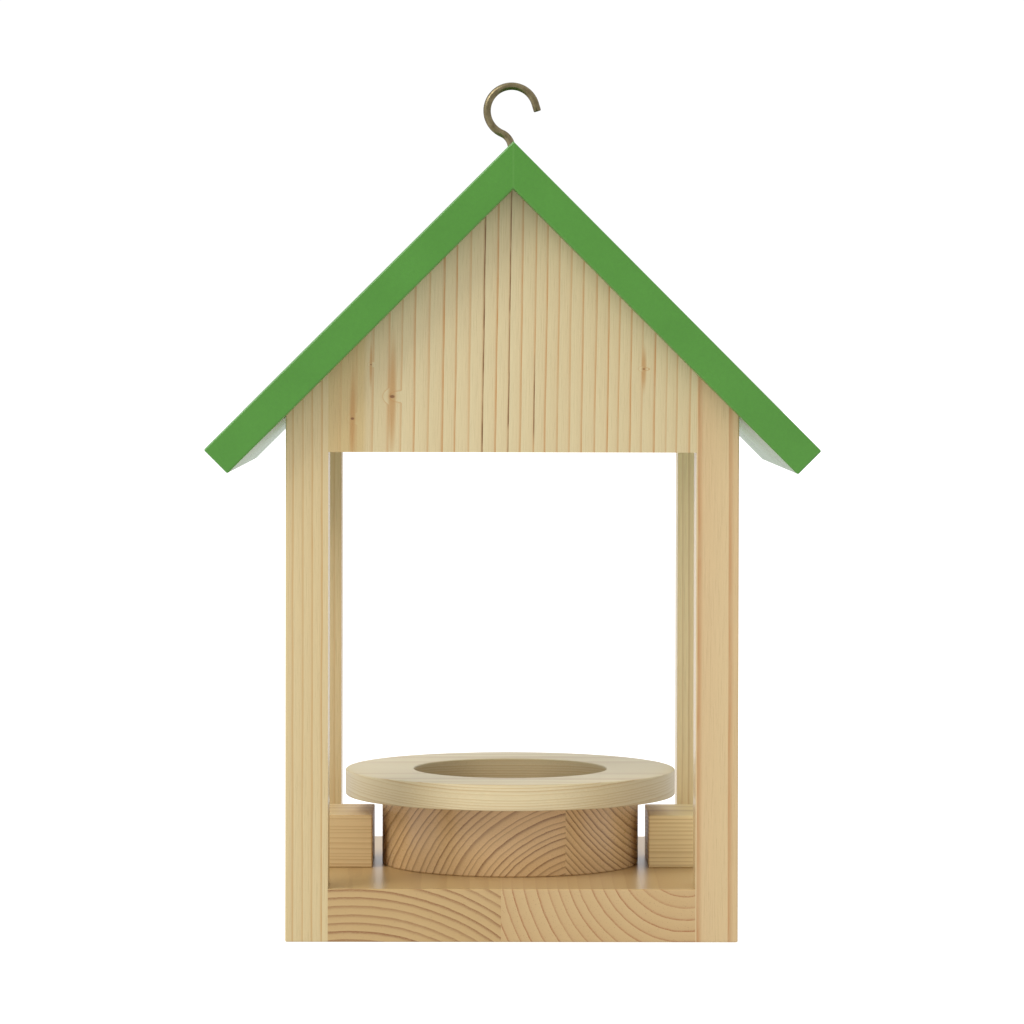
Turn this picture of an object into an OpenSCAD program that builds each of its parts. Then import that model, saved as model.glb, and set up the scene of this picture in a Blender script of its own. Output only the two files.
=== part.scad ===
// House-shaped garden bird feeder: a pine frame with a mitred green roof, a brass screw hook
// at the ridge and a loose turned bowl that slides out between the posts.
// Millimetres. The origin is the middle of the underside; +X right, +Y back, +Z up.

/* [House] */
// Width over the posts
house_w = 170; // [164:1:176]
// Depth over the posts
house_d = 170; // [160:1:178]
// Width of a post, seen from the front
post_w = 16; // [15:0.5:17]
// Depth of a post and thickness of a gable
post_d = 18; // [17:0.5:20]
// Thickness of the base planks
base_t = 20; // [19:0.5:21]
// How far left of the middle the base's glue joint is
base_joint = 4; // [0:0.5:8]
// Height of the gables' lower edges
gable_z = 184; // [180:0.5:188]
// Rounding of sanded edges
sanded_r = 0.6; // [0.4:0.1:0.8]

/* [Roof] */
// Height of the ridge
ridge_z = 300; // [298:1:304]
// Width over the eaves
roof_w = 230; // [224:1:240]
// Length of the ridge
roof_d = 194; // [184:1:200]
// Thickness of a roof board
roof_t = 12.5; // [12:0.5:13]
// Rounding of a roof board's edges
eave_r = 0.8; // [0.5:0.1:1.2]
// Width of the rail under the ridge
rail_w = 28; // [26:1:30]

/* [Bowl] */
// Diameter of the rim
rim_dia = 130; // [126:1:134]
// Thickness of the rim
rim_t = 10; // [9:0.5:11]
// Diameter of the drum under the rim
drum_dia = 101; // [99:0.5:102]
// Height of the drum
drum_h = 27; // [26:0.5:28]
// Diameter of the well
well_dia = 76; // [74:1:78]
// Thickness of wood left under the well
well_floor = 6; // [5:0.5:8]
// How far right of the middle the drum's glue joint is
stave_joint = 21; // [18:0.5:24]

/* [Stop blocks] */
// Length of a block from the side of the base towards the drum
block_l = 31; // [29:0.5:32]
// Width of a block along the depth of the house
block_d = 41; // [36:1:44]
// Height of a block
block_h = 20.5; // [19:0.5:23]

/* [Hook] */
// Diameter of the wire
wire_dia = 3; // [2.6:0.1:3.2]
// Radius of the open loop, at the middle of the wire
loop_r = 9.7; // [9:0.1:10.5]
// Radius of the bend between the loop and the shank
neck_r = 6.5; // [4:0.1:7]
// Height of the middle of the loop
loop_z = 316.5; // [316:0.1:318]
// Angle above the horizontal at which the loop ends and its straight open end begins
tip_angle = 17; // [10:1:20]
// Length of the straight open end
tip_l = 3.2; // [1:0.2:4]
// Depth of the thread in the wood below the ridge
hook_depth = 34; // [30:1:38]

/* [Fasteners] */
// Diameter of a wood screw's head
head_dia = 7.6; // [7:0.2:8]
// Diameter of a wood screw's thread
thread_dia = 4; // [3.5:0.1:4.2]
// Distance between the turns of a thread
pitch = 2.4; // [2:0.1:3]
// Length of the screws through the posts
post_screw_l = 40; // [34:1:44]
// Length of the screws through the roof into the gables
roof_screw_l = 35; // [30:1:38]
// Length of the screws through the roof into the ridge rail
ridge_screw_l = 28; // [26:1:29]
// Length of the screws through the base into the stop blocks
block_screw_l = 34; // [30:1:36]
// Diameter of the gable dowels
gable_dowel_dia = 6; // [5:0.5:6]
// Diameter of the rim dowels
rim_dowel_dia = 5; // [4:0.5:6]

/* [Hidden] */
$fn = 48;
ARRIS_FN = 24;
WIRE_SIDES = 16;
LOOP_STEPS = 40;
NECK_STEPS = 8;

PINE = "burlywood";
DARK_PINE = "peru";
GREEN = "forestgreen";
BEECH = "wheat";
BRASS = "darkgoldenrod";
ZINC = "silver";

far = 400;                               // longer than anything in the model
half_w = house_w / 2;
half_d = house_d / 2;
gap_w = house_w - 2 * post_w;            // width of the front opening
under_z = ridge_z - roof_t * sqrt(2);    // height of the mitre's inner end
rim_z = base_t + drum_h;                 // underside of the rim
head_h = (head_dia - thread_dia) / 2;    // depth of a 90 degree countersunk head
core_dia = thread_dia * 0.7;
tip_h = 5;                               // length of a screw's point
thread_share = 0.62;                     // threaded part of a screw
recess_w = 1.1;                          // cross recess in a screw's head
recess_l = 4.4;
recess_h = 1.5;
thread_runout = 0.5;                     // slope between a plain shank and its thread
cut = 1;                                 // how far a cutter runs past a face

slope_l = roof_w / 2 * sqrt(2);          // length of a roof board down its outer face
rail_side_h = 16;                        // height of the ridge rail's upright sides
rail_z = under_z - rail_w / 2 - rail_side_h;  // underside of the ridge rail
gable_y = half_d - post_d / 2;           // middle of a gable's thickness

// Screw places: distance from the ridge, level, for the roof; one in each post, two in each block
gable_screw_x = [30, 62];
rail_screw_x = 16;
rail_screw_y = 30;
rail_screw_shift = 5;                    // keeps left and right screws clear of each other
post_screw_z = base_t / 2;
block_screw_y = [-10, 10];

// Dowel places
gable_dowel_z = [gable_z + 6, gable_z + 16];
gable_dowel_in_post = 7;
gable_dowel_l = 22;
rim_dowel_r = (drum_dia + well_dia) / 4;
rim_dowel_in_rim = 7;
rim_dowel_l = 18;

// The neck turns through this angle, so that the shank hangs straight below the loop
neck_angle = acos(neck_r / (loop_r + neck_r));
shank_z = loop_z - (loop_r + neck_r) * sin(neck_angle);
tip_chamfer = 0.3;
hook_thread_dia = 3.6;
hook_core_dia = 2.5;
hook_pitch = 1.6;
hook_tip_h = 4;
hook_point_r = 0.1;
hook_plain_l = 3;                        // plain wire below the ridge, above the thread
hook_hole_over = 17;                     // how far the hook's hole is cut on above the ridge

// Rectangle with round corners, its lowest corner at the origin
module soft_rect(w, h, r) {
    translate([r, 0]) square([w - 2 * r, h]);
    translate([0, r]) square([w, h - 2 * r]);
    for (x = [r, w - r], y = [r, h - r])
        translate([x, y]) circle(r, $fn = ARRIS_FN);
}

// Block with every edge sanded round, its lowest corner at the origin
module soft_block(size, r = sanded_r) {
    intersection() {
        linear_extrude(size.z) soft_rect(size.x, size.y, r);
        translate([0, size.y, 0]) rotate([90, 0, 0])
            linear_extrude(size.y) soft_rect(size.x, size.z, r);
        rotate([90, 0, 90]) linear_extrude(size.x) soft_rect(size.y, size.z, r);
    }
}

// Everything under the roof boards, as one prism along the house
module under_roof() {
    rotate([90, 0, 0])
        linear_extrude(far, center = true)
            polygon([[-far, -far], [far, -far], [far, under_z - far],
                     [0, under_z], [-far, under_z - far]]);
}

// Half of all space, on the side of x that the sign gives
module half_space(side, x = 0) {
    translate([x + (side < 0 ? -far : 0), -far / 2, -far]) cube([far, far, 2 * far]);
}

// Space that a wood screw takes, its head's top at the origin and its point down
module screw_space(length) {
    rotate_extrude()
        polygon([[0, 0], [head_dia / 2, 0], [thread_dia / 2, -head_h],
                 [thread_dia / 2, tip_h - length], [0, -length]]);
}

// Saw-tooth outline of a thread, from z = 0 down
function thread_teeth(outer_r, core_r, turns, step) =
    [for (i = [0:turns - 1]) each [[core_r, -i * step], [outer_r, -(i + 0.5) * step]]];

// Wood screw with a cross recess, its head's top at the origin and its point down
module wood_screw(length) {
    turns = floor((length * thread_share - tip_h) / pitch);
    thread_top = tip_h - length + turns * pitch;
    difference() {
        rotate_extrude()
            polygon(concat(
                [[0, 0], [head_dia / 2, 0], [thread_dia / 2, -head_h],
                 [thread_dia / 2, thread_top + thread_runout]],
                [for (p = thread_teeth(thread_dia / 2, core_dia / 2, turns, pitch))
                    [p.x, p.y + thread_top]],
                [[core_dia / 2, tip_h - length], [0, -length]]));
        for (a = [0, 90])
            rotate([0, 0, a])
                translate([-recess_l / 2, -recess_w / 2, -recess_h])
                    cube([recess_l, recess_w, recess_h + cut]);
    }
}

// Places of the fasteners: each module puts its children there, head first along -Z

module at_post_screws() {
    for (side = [-1, 1], back = [-1, 1])
        translate([side * half_w, back * gable_y, post_screw_z])
            rotate([0, side * 90, 0]) children();
}

module at_roof_slope(side, x, y) {
    translate([side * x, y, ridge_z - x]) rotate([0, side * 45, 0]) children();
}

module at_roof_screws() {
    for (side = [-1, 1], back = [-1, 1], x = gable_screw_x)
        at_roof_slope(side, x, back * gable_y) children();
}

module at_ridge_screws() {
    for (side = [-1, 1], back = [-1, 1])
        at_roof_slope(side, rail_screw_x, back * rail_screw_y + side * rail_screw_shift) children();
}

module at_block_screws() {
    for (side = [-1, 1], y = block_screw_y)
        translate([side * (half_w - block_l / 2), y, 0]) rotate([180, 0, 0]) children();
}

module gable_dowel_rods() {
    for (side = [-1, 1], back = [-1, 1], z = gable_dowel_z)
        translate([side * (gap_w / 2 + gable_dowel_in_post - gable_dowel_l / 2), back * gable_y, z])
            rotate([0, 90, 0]) cylinder(h = gable_dowel_l, d = gable_dowel_dia, center = true);
}

module rim_dowel_rods() {
    for (a = [45:90:315])
        rotate([0, 0, a])
            translate([rim_dowel_r, 0, rim_z + rim_dowel_in_rim - rim_dowel_l])
                cylinder(h = rim_dowel_l, d = rim_dowel_dia);
}

// Hook thread and point, from the shank's lower end at the ridge down into the wood
module hook_thread_space() {
    translate([0, 0, ridge_z])
        rotate_extrude()
            polygon([[0, hook_hole_over], [hook_thread_dia / 2, hook_hole_over],
                     [hook_thread_dia / 2, hook_tip_h - hook_depth], [0, -hook_depth]]);
}

// Base

module floor_blank() {
    difference() {
        translate([-half_w, -half_d, 0]) soft_block([house_w, house_d, base_t]);
        for (side = [-1, 1], back = [-1, 1])
            translate([side * (half_w - post_w / 2), back * (half_d - post_d / 2), 0])
                cube([post_w, post_d, 3 * base_t], center = true);
        at_post_screws() screw_space(post_screw_l);
        at_block_screws() screw_space(block_screw_l);
    }
}

module floor_plank_left() {
    color(PINE) intersection() {
        floor_blank();
        half_space(-1, -base_joint);
    }
}

module floor_plank_right() {
    color(PINE) intersection() {
        floor_blank();
        half_space(1, -base_joint);
    }
}

// Frame

// A post keeps sharp edges on its inner side, where it is flush with the gable and the base
module post(side, back) {
    blank_w = post_w + sanded_r;
    color(PINE) difference() {
        intersection() {
            translate([side > 0 ? half_w - blank_w : -half_w, back > 0 ? half_d - post_d : -half_d, 0])
                soft_block([blank_w, post_d, ridge_z]);
            half_space(side, side * gap_w / 2);
            under_roof();
        }
        at_post_screws() screw_space(post_screw_l);
        at_roof_screws() screw_space(roof_screw_l);
        gable_dowel_rods();
    }
}

module front_left_post() { post(-1, -1); }
module front_right_post() { post(1, -1); }
module rear_left_post() { post(-1, 1); }
module rear_right_post() { post(1, 1); }

module gable(back) {
    color(PINE) difference() {
        intersection() {
            translate([-gap_w / 2, back > 0 ? half_d - post_d : -half_d, gable_z])
                cube([gap_w, post_d, ridge_z]);
            under_roof();
        }
        at_roof_screws() screw_space(roof_screw_l);
        gable_dowel_rods();
    }
}

module front_gable() { gable(-1); }
module rear_gable() { gable(1); }

module ridge_rail() {
    rail_l = house_d - 2 * post_d;
    color(PINE) difference() {
        intersection() {
            translate([-rail_w / 2, -rail_l / 2, rail_z]) cube([rail_w, rail_l, ridge_z]);
            under_roof();
        }
        at_ridge_screws() screw_space(ridge_screw_l);
        hook_thread_space();
    }
}

// Roof

module roof_board(side) {
    color(GREEN) difference() {
        intersection() {
            mirror([side < 0 ? 1 : 0, 0, 0])
                translate([0, -roof_d / 2, ridge_z]) rotate([0, 45, 0])
                    translate([-roof_t, 0, -roof_t])
                        soft_block([slope_l + roof_t, roof_d, roof_t], eave_r);
            half_space(side);
        }
        at_roof_screws() screw_space(roof_screw_l);
        at_ridge_screws() screw_space(ridge_screw_l);
        hook_thread_space();
    }
}

module roof_board_left() { roof_board(-1); }
module roof_board_right() { roof_board(1); }

// Hook

// One station along the wire: place [x, z], heading in degrees, radius
function loop_station(a) =
    [loop_r * cos(a), loop_z + loop_r * sin(a), a + 90, wire_dia / 2];
function tip_station(l, r) =
    let (s = loop_station(tip_angle)) [s[0] - l * cos(s[2]), s[1] - l * sin(s[2]), s[2], r];
function neck_station(a) =
    [neck_r * cos(a) - neck_r, shank_z + neck_r * sin(a), a - 90, wire_dia / 2];
function shank_station(z, r) = [0, z, -90, r];

// Ring of points round a station; the wire lies in the plane across the front
function wire_ring(s) =
    [for (k = [0:WIRE_SIDES - 1])
        let (t = 360 * k / WIRE_SIDES, out = s[3] * cos(t))
        [s[0] - out * sin(s[2]), s[3] * sin(t), s[1] + out * cos(s[2])]];

module screw_hook() {
    turns = floor((hook_depth - hook_tip_h - hook_plain_l) / hook_pitch);
    tip_top = ridge_z - hook_depth + hook_tip_h;
    thread_top = tip_top + turns * hook_pitch;
    end_angle = 180 + neck_angle;
    stations = concat(
        [tip_station(tip_l, wire_dia / 2 - tip_chamfer), tip_station(tip_l - tip_chamfer, wire_dia / 2)],
        [for (i = [0:LOOP_STEPS])
            loop_station(tip_angle + (end_angle - tip_angle) * i / LOOP_STEPS)],
        [for (i = [1:NECK_STEPS]) neck_station(neck_angle * (1 - i / NECK_STEPS))],
        [shank_station(thread_top + thread_runout, wire_dia / 2)],
        [for (p = thread_teeth(hook_thread_dia / 2, hook_core_dia / 2, turns, hook_pitch))
            shank_station(p.y + thread_top, p.x)],
        [shank_station(tip_top, hook_core_dia / 2), shank_station(ridge_z - hook_depth, hook_point_r)]);
    last = len(stations) - 1;
    n = WIRE_SIDES;
    color(BRASS) polyhedron(
        points = [for (s = stations) each wire_ring(s)],
        faces = concat(
            [[for (k = [0:n - 1]) k], [for (k = [n - 1:-1:0]) last * n + k]],
            [for (i = [0:last - 1], k = [0:n - 1])
                [i * n + k, (i + 1) * n + k, (i + 1) * n + (k + 1) % n, i * n + (k + 1) % n]]));
}

// Stop blocks

module stop_block(side) {
    color(PINE) difference() {
        translate([side > 0 ? half_w - block_l : -half_w, -block_d / 2, base_t])
            soft_block([block_l, block_d, block_h]);
        at_block_screws() screw_space(block_screw_l);
    }
}

module left_stop_block() { stop_block(-1); }
module right_stop_block() { stop_block(1); }

// Bowl

module drum_blank() {
    difference() {
        rotate_extrude($fn = 96)
            translate([0, base_t]) union() {
                square([drum_dia / 2 - sanded_r, drum_h]);
                translate([0, sanded_r]) square([drum_dia / 2, drum_h - sanded_r]);
                translate([drum_dia / 2 - sanded_r, sanded_r]) circle(sanded_r, $fn = ARRIS_FN);
            }
        translate([0, 0, base_t + well_floor]) cylinder(h = drum_h, d = well_dia, $fn = 96);
        rim_dowel_rods();
    }
}

module drum_stave_left() {
    color(DARK_PINE) intersection() {
        drum_blank();
        half_space(-1, stave_joint);
    }
}

module drum_stave_right() {
    color(DARK_PINE) intersection() {
        drum_blank();
        half_space(1, stave_joint);
    }
}

module bowl_rim() {
    color(PINE) difference() {
        rotate_extrude($fn = 96)
            translate([well_dia / 2, rim_z])
                soft_rect((rim_dia - well_dia) / 2, rim_t, sanded_r);
        rim_dowel_rods();
    }
}

// Fasteners

module gable_dowels() { color(BEECH) gable_dowel_rods(); }
module rim_dowels() { color(BEECH) rim_dowel_rods(); }
module post_screws() { color(ZINC) at_post_screws() wood_screw(post_screw_l); }
module roof_screws() { color(GREEN) at_roof_screws() wood_screw(roof_screw_l); }
module ridge_screws() { color(GREEN) at_ridge_screws() wood_screw(ridge_screw_l); }
module block_screws() { color(ZINC) at_block_screws() wood_screw(block_screw_l); }

floor_plank_left();
floor_plank_right();
front_left_post();
front_right_post();
rear_left_post();
rear_right_post();
front_gable();
rear_gable();
ridge_rail();
roof_board_left();
roof_board_right();
screw_hook();
left_stop_block();
right_stop_block();
drum_stave_left();
drum_stave_right();
bowl_rim();
gable_dowels();
rim_dowels();
post_screws();
roof_screws();
ridge_screws();
block_screws();
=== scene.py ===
# House-shaped garden bird feeder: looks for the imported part, in metres and in its frame.
import math

import bmesh
import bpy
from mathutils import Euler, Matrix, Vector


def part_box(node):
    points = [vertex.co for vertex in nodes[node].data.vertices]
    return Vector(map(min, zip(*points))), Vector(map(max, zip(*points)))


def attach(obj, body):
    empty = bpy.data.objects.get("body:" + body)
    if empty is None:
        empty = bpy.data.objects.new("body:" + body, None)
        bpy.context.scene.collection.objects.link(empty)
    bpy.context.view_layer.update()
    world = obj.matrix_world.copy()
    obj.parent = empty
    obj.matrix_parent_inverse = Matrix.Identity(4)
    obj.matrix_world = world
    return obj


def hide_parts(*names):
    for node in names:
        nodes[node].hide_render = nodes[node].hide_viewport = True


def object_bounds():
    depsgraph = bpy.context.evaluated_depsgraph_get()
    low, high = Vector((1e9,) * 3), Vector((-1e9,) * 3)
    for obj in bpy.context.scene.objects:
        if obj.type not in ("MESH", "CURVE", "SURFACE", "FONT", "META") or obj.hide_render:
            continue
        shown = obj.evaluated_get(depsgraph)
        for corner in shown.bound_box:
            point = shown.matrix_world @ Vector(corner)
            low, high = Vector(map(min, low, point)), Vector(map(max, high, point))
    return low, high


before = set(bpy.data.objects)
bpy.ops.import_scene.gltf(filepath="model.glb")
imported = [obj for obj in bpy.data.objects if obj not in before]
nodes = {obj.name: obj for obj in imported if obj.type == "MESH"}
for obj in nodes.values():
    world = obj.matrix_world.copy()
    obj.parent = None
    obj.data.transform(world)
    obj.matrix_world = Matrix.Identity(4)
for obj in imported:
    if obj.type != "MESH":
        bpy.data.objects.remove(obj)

cad_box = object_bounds()
MM = 0.001

# The kinds of node that come up again and again
MATH, VECTOR, MIX = "ShaderNodeMath", "ShaderNodeVectorMath", "ShaderNodeMix"
RANGE, NOISE = "ShaderNodeMapRange", "ShaderNodeTexNoise"


# ---------------------------------------------------------------- small helpers

def add(tree, kind, sockets=None, **settings):
    """Adds one node, with its settings and what goes into its sockets: values or other nodes' outputs."""
    node = tree.nodes.new(kind)
    for key, value in settings.items():
        setattr(node, key, value)
    for key, value in (sockets or {}).items():
        if isinstance(value, bpy.types.NodeSocket):
            tree.links.new(value, node.inputs[key])
        else:
            node.inputs[key].default_value = value
    return node


def linear(code):
    """The linear colour of an sRGB hex value."""
    parts = [int(code[i:i + 2], 16) / 255 for i in (0, 2, 4)]
    return tuple(c / 12.92 if c <= 0.04045 else ((c + 0.055) / 1.055) ** 2.4 for c in parts) + (1.0,)


def new_material(name):
    """An empty node material with its shader wired to the output."""
    material = bpy.data.materials.new(name)
    material.use_nodes = True
    tree = material.node_tree
    tree.nodes.clear()
    shader = add(tree, "ShaderNodeBsdfPrincipled")
    add(tree, "ShaderNodeOutputMaterial", {"Surface": shader.outputs["BSDF"]})
    return material, tree, shader


def millimetres(tree):
    """Where a point is on the piece, in millimetres."""
    place = add(tree, "ShaderNodeTexCoord").outputs["Object"]
    return add(tree, VECTOR, {0: place, "Scale": 1 / MM}, operation="SCALE").outputs[0]


# ---------------------------------------------------------------- wood

# Millimetres between the noise that one board and the next are cut from
BOARD_SHIFT = (53.0, 31.0, 17.0)
# How the pith's line, which starts upright, turns to lie along each axis of the house
GRAIN = {
    "up": (0.0, 0.0, 0.0),
    "deep": (-math.pi / 2, 0.0, 0.0),
    "across": (0.0, math.pi / 2, 0.0),
}


def growth_rings(tree, board, seed, ring, first, line, wander, weather, knots):
    """Adds the figure of sawn wood round the pith and returns its sockets: the latewood lines, the knots and
    the brown smears they draw, the fibre streaks, the slow tone changes, the resin pores, how far on in its
    season each ring is, its number and its radius. board is in millimetres, with the pith along Z."""
    moved = add(tree, VECTOR, {0: board, 1: tuple(seed * step for step in BOARD_SHIFT)},
                operation="ADD").outputs[0]
    long_way = add(tree, VECTOR, {0: moved, 1: (1.0, 1.0, 0.1)}, operation="MULTIPLY").outputs[0]

    # Rings wander slowly over some 50 mm, and tremble over 4 mm
    slow = add(tree, NOISE, {"Vector": long_way, "Scale": 1 / 50, "Detail": 1.0})
    quick = add(tree, NOISE, {"Vector": long_way, "Scale": 1 / 4, "Detail": 2.0})
    bend = add(tree, VECTOR,
               {0: slow.outputs["Color"], 1: (wander, wander, 0.0), 2: (-wander / 2, -wander / 2, 0.0)},
               operation="MULTIPLY_ADD").outputs[0]
    tremble = 0.5
    shake = add(tree, VECTOR,
                {0: quick.outputs["Color"], 1: (tremble, tremble, 0.0), 2: (-tremble / 2, -tremble / 2, 0.0)},
                operation="MULTIPLY_ADD").outputs[0]
    bent = add(tree, VECTOR, {0: board, 1: bend}, operation="ADD").outputs[0]
    bent = add(tree, VECTOR, {0: bent, 1: shake}, operation="ADD").outputs[0]
    flat = add(tree, VECTOR, {0: bent, 1: (1.0, 1.0, 0.0)}, operation="MULTIPLY").outputs[0]
    radius = add(tree, VECTOR, {0: flat}, operation="LENGTH").outputs["Value"]

    # Good and poor summers make the rings wider and narrower
    year = add(tree, MATH, {0: radius, 1: ring}, operation="DIVIDE").outputs[0]
    year = add(tree, MATH, {0: year, 1: first}, operation="ADD").outputs[0]
    luck = add(tree, NOISE, {"W": year, "Scale": 0.35, "Detail": 1.0}, noise_dimensions="1D")
    luck = add(tree, MATH, {0: luck.outputs[0], 1: weather, 2: -weather / 2}, operation="MULTIPLY_ADD")
    year = add(tree, MATH, {0: year, 1: luck.outputs[0]}, operation="ADD").outputs[0]

    # A knot is a branch that runs out from the pith: the rings bulge round it
    knot_mask = smear_mask = None
    for height, angle, knot_r in knots:
        branch = add(tree, VECTOR, {0: board, 1: (0.0, 0.0, height)}, operation="SUBTRACT").outputs[0]
        way = (math.cos(angle), math.sin(angle), 0.0)
        apart = add(tree, VECTOR, {0: branch, 1: way}, operation="CROSS_PRODUCT").outputs[0]
        apart = add(tree, VECTOR, {0: apart}, operation="LENGTH").outputs["Value"]
        bulge = add(tree, RANGE, {"Value": apart, "From Min": knot_r, "From Max": 5 * knot_r,
                                  "To Min": 0.9, "To Max": 0.0},
                    interpolation_type="SMOOTHSTEP").outputs["Result"]
        year = add(tree, MATH, {0: year, 1: bulge}, operation="ADD").outputs[0]
        mask = add(tree, RANGE, {"Value": apart, "From Min": knot_r * 0.5, "From Max": knot_r * 1.2,
                                 "To Min": 1.0, "To Max": 0.0},
                   interpolation_type="SMOOTHSTEP").outputs["Result"]
        knot_mask = mask if knot_mask is None else add(
            tree, MATH, {0: knot_mask, 1: mask}, operation="MAXIMUM").outputs[0]
        # Resin browns the wood above and below a knot
        drawn = add(tree, VECTOR, {0: branch, 1: (1.0, 1.0, 0.045)}, operation="MULTIPLY").outputs[0]
        drawn = add(tree, VECTOR, {0: drawn, 1: way}, operation="CROSS_PRODUCT").outputs[0]
        drawn = add(tree, VECTOR, {0: drawn}, operation="LENGTH").outputs["Value"]
        smear = add(tree, RANGE, {"Value": drawn, "From Min": knot_r * 0.5, "From Max": knot_r * 2.0,
                                  "To Min": 0.75, "To Max": 0.0},
                    interpolation_type="SMOOTHSTEP").outputs["Result"]
        smear_mask = smear if smear_mask is None else add(
            tree, MATH, {0: smear_mask, 1: smear}, operation="MAXIMUM").outputs[0]

    # Earlywood darkens slowly into a thin latewood line that ends sharply
    season = add(tree, MATH, {0: year}, operation="FRACT").outputs[0]
    number = add(tree, MATH, {0: year}, operation="FLOOR").outputs[0]
    rise = add(tree, RANGE, {"Value": season, "From Min": 1 - 2 * line, "From Max": 1 - line / 3},
               interpolation_type="SMOOTHSTEP").outputs["Result"]
    fall = add(tree, RANGE, {"Value": season, "From Min": 1 - line / 5, "From Max": 1.0, "To Min": 1.0,
                             "To Max": 0.0}, interpolation_type="SMOOTHSTEP").outputs["Result"]
    late = add(tree, MATH, {0: rise, 1: fall}, operation="MULTIPLY").outputs[0]
    chance = add(tree, "ShaderNodeTexWhiteNoise", {"W": number}, noise_dimensions="1D")
    share = add(tree, RANGE, {"Value": chance.outputs["Value"], "To Min": 0.45, "To Max": 1.0})
    late = add(tree, MATH, {0: late, 1: share.outputs["Result"]}, operation="MULTIPLY").outputs[0]

    # Fibres are about 0.45 mm apart here and 13 mm long, coarser than real ones so that they show
    fibre_way = add(tree, VECTOR, {0: moved, 1: (1.0, 1.0, 0.035)}, operation="MULTIPLY").outputs[0]
    fibres = add(tree, NOISE, {"Vector": fibre_way, "Scale": 1 / 0.45, "Detail": 3.0,
                               "Roughness": 0.6}).outputs[0]
    broken = add(tree, RANGE, {"Value": fibres, "From Min": 0.36, "From Max": 0.58, "To Min": 0.5,
                               "To Max": 1.0}).outputs["Result"]
    late = add(tree, MATH, {0: late, 1: broken}, operation="MULTIPLY").outputs[0]
    tone = add(tree, NOISE, {"Vector": long_way, "Scale": 1 / 18, "Detail": 3.0}).outputs[0]
    # Pores are a third of a millimetre wide and 3 mm long, also coarser than real ones
    pore_way = add(tree, VECTOR, {0: moved, 1: (1.0, 1.0, 0.12)}, operation="MULTIPLY").outputs[0]
    pores = add(tree, NOISE, {"Vector": pore_way, "Scale": 1 / 0.35, "Detail": 1.0}).outputs[0]
    pores = add(tree, RANGE, {"Value": pores, "From Min": 0.66, "From Max": 0.76},
                interpolation_type="SMOOTHSTEP").outputs["Result"]
    return {"late": late, "knots": knot_mask, "smears": smear_mask, "fibres": fibres, "tone": tone,
            "pores": pores, "season": season, "number": number, "radius": radius}


LACQUER_IOR = 1.5
PORE_BROWN, RESIN_BROWN, SMEAR_BROWN, KNOT_BROWN = "7A5630", "5E3F1C", "AE8148", "7E5630"


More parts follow.
